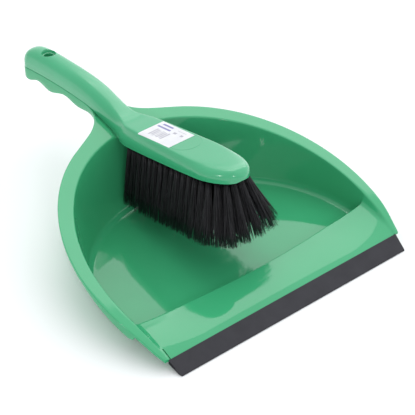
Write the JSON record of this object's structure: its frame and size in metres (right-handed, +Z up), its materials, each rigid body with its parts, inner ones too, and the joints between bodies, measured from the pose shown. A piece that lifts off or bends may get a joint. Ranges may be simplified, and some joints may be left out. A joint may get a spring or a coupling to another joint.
{
  "type": "dust pan and brush set",
  "caption": "Wide D-shaped dust pan with a rubber lip, and a soft hand brush whose handle nests on the pan's handle and lifts off; both handles share a hanging hole.",
  "frame": {"origin": "bottom centre of the bounding box, on the ground under the middle of the set", "axes": "+X across the pan, -Y towards the rubber lip, +Y along both handles to their tips, +Z up"},
  "size_m": [0.2728, 0.352, 0.0995],
  "materials": {
    "pan_plastic": "glossy moulded polypropylene, mid green",
    "brush_plastic": "glossy moulded polypropylene, mid green",
    "lip_rubber": "satin black rubber",
    "bristle": "soft black filament with a faint sheen",
    "label_film": null,
    "anchor_wire": "drawn wire"
  },
  "bodies": {
    "pan": {"dustpan": "pan_plastic", "rubber_lip": "lip_rubber"},
    "brush": {"brush_handle": "brush_plastic", "label": "label_film", "tuft_row_01": "bristle", "tuft_row_02": "bristle", "tuft_row_03": "bristle", "tuft_row_04": "bristle", "tuft_row_05": "bristle", "tuft_row_06": "bristle", "tuft_row_07": "bristle", "tuft_row_08": "bristle", "tuft_row_09": "bristle", "tuft_row_10": "bristle", "tuft_row_11": "bristle", "tuft_row_12": "bristle", "tuft_row_13": "bristle", "tuft_row_14": "bristle", "tuft_row_15": "bristle", "tuft_row_16": "bristle", "tuft_row_17": "bristle", "anchor_row_01": "anchor_wire", "anchor_row_02": "anchor_wire", "anchor_row_03": "anchor_wire", "anchor_row_04": "anchor_wire", "anchor_row_05": "anchor_wire", "anchor_row_06": "anchor_wire", "anchor_row_07": "anchor_wire", "anchor_row_08": "anchor_wire", "anchor_row_09": "anchor_wire", "anchor_row_10": "anchor_wire", "anchor_row_11": "anchor_wire", "anchor_row_12": "anchor_wire", "anchor_row_13": "anchor_wire", "anchor_row_14": "anchor_wire", "anchor_row_15": "anchor_wire", "anchor_row_16": "anchor_wire", "anchor_row_17": "anchor_wire"}
  },
  "joints": [
    {"name": "brush_lift", "type": "slide", "parent": "pan", "child": "brush", "axis": [0, 0, 1], "range_m": [0, 0.12]}
  ]
}
